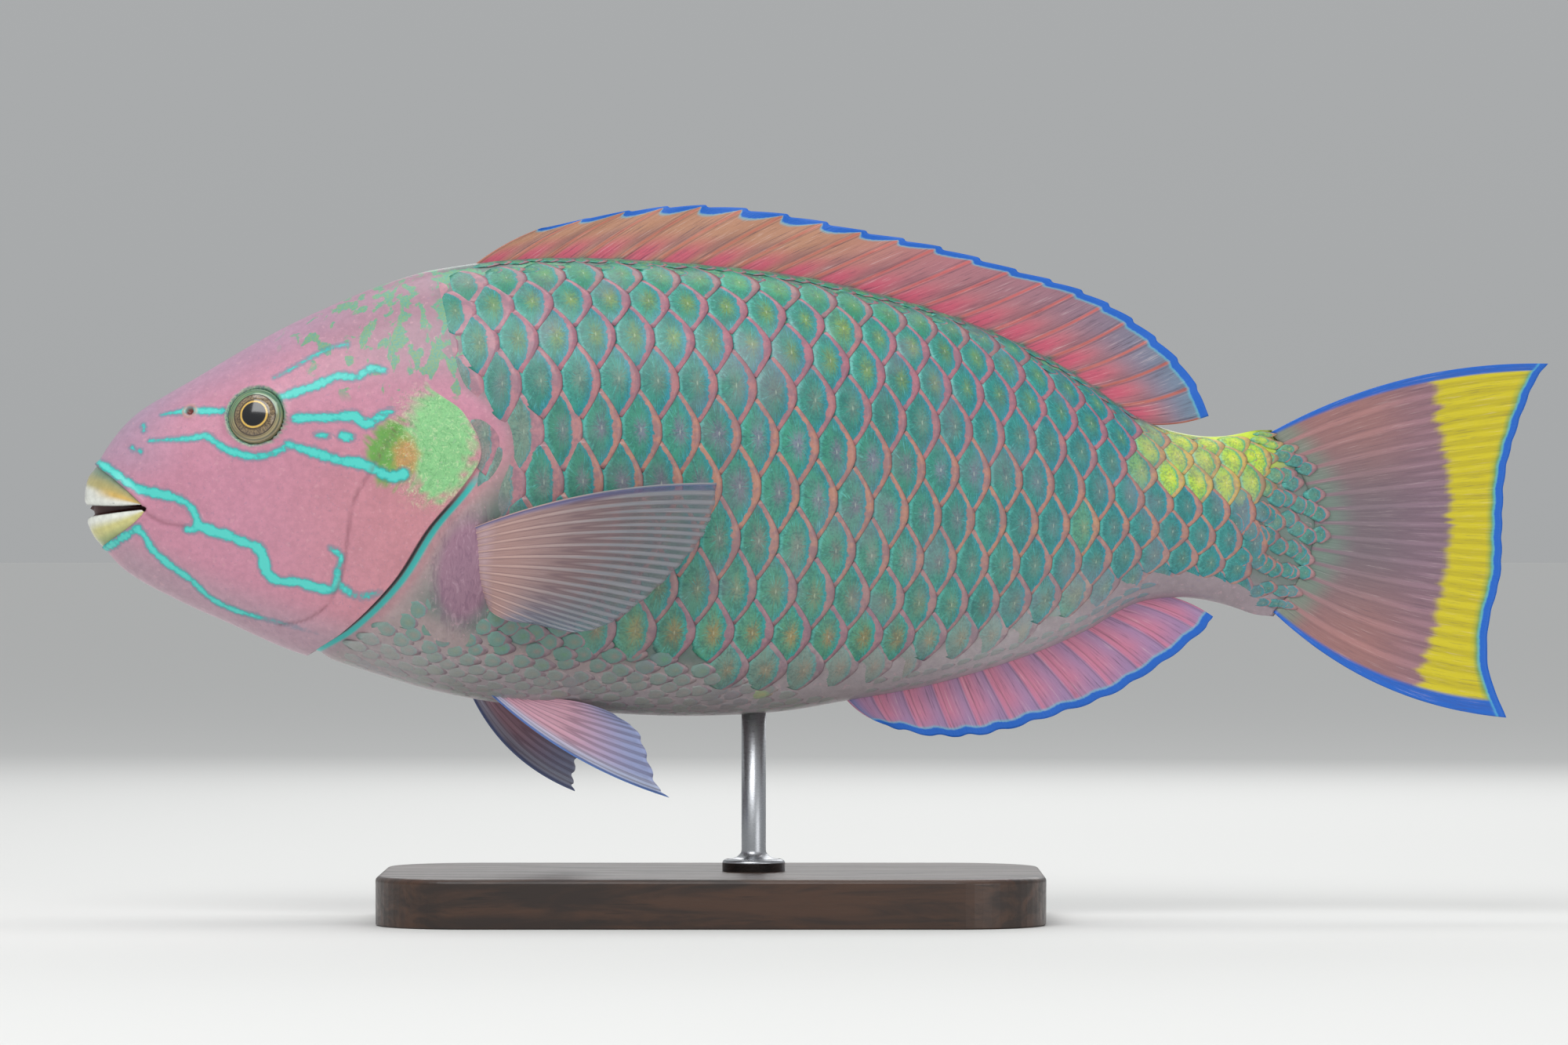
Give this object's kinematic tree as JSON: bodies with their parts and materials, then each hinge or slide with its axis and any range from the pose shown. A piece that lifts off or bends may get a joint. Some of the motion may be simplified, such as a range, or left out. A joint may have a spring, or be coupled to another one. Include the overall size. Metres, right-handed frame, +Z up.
{
  "type": "parrotfish on a display stand",
  "caption": "Life-size parrotfish in adult male colours, with beak-like teeth, large scales and spread fins, swimming level above a flat display stand.",
  "frame": {"origin": "on the floor, under the middle of the fish's length and on its plane of symmetry", "axes": "+X from the head to the tail, +Y to the fish's right side, +Z up"},
  "size_m": [0.4197, 0.112, 0.2052],
  "materials": {
    "head_skin": "wet fish skin, rose pink with turquoise bands",
    "cover_skin": "wet fish skin, yellow green edged with turquoise",
    "eye": "clear and glossy, black pupil in a bronze iris",
    "beak": "polished tooth enamel, cream to yellow",
    "scaly_skin": "large glossy scales, green to teal with rosy edges",
    "median_fin": "smooth fin membrane, orange pink with blue edges",
    "tail_fin": "smooth fin membrane, mauve to yellow with blue edges",
    "paired_fin": "thin fin membrane, rosy at the root and clear blue grey at the tip",
    "stand_wood": "dark satin wood",
    "stand_steel": "brushed steel"
  },
  "bodies": {
    "root": {"head": "head_skin", "gill_cover_left": "cover_skin", "gill_cover_right": "cover_skin", "eye_left": "eye", "eye_right": "eye", "beak_upper": "beak", "beak_lower": "beak", "trunk": "scaly_skin", "tail_stalk": "scaly_skin", "dorsal_fin": "median_fin", "anal_fin": "median_fin", "tail_fin": "tail_fin", "pectoral_fin_left": "paired_fin", "pectoral_fin_right": "paired_fin", "pelvic_fin_left": "paired_fin", "pelvic_fin_right": "paired_fin", "stand_base": "stand_wood", "stand_rod": "stand_steel"}
  },
  "joints": []
}
